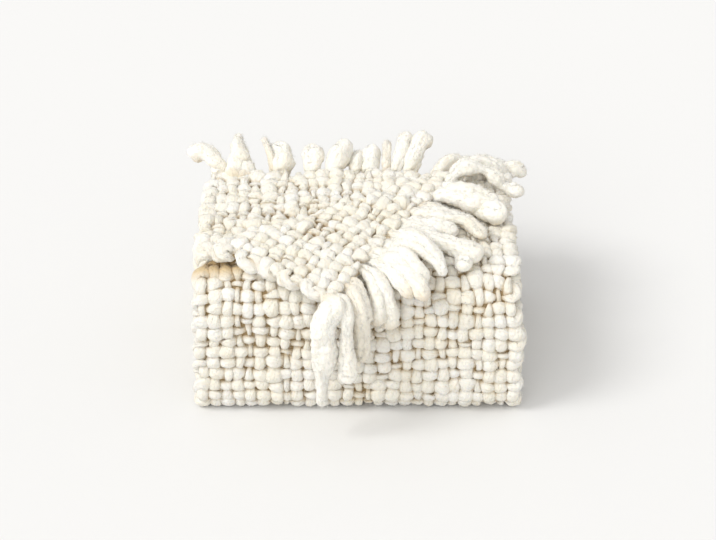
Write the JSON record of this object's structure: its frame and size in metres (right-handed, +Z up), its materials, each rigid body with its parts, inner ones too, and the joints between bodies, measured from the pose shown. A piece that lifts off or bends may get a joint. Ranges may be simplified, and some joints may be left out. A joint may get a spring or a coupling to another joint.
{
  "type": "folded chunky throw blanket with looped fringe",
  "caption": "Thick, loosely woven wool throw folded back and forth into a bundle, its top corner turned over so that a looped fringe fans across the front.",
  "frame": {"origin": "middle of the underside of the whole throw's box, on the surface it rests on", "axes": "+X to the right along the folds, -Y towards the front wrap and the turned corner, +Z up"},
  "size_m": [0.4568, 0.4394, 0.2412],
  "materials": {
    "ivory_wool_cloth": "matte thick-and-thin wool yarn, plain weave",
    "ivory_wool_fringe": "matte soft wool roving, lightly twisted"
  },
  "bodies": {
    "root": {"blanket": "ivory_wool_cloth", "fringe_front": "ivory_wool_fringe", "fringe_back": "ivory_wool_fringe"}
  },
  "joints": []
}
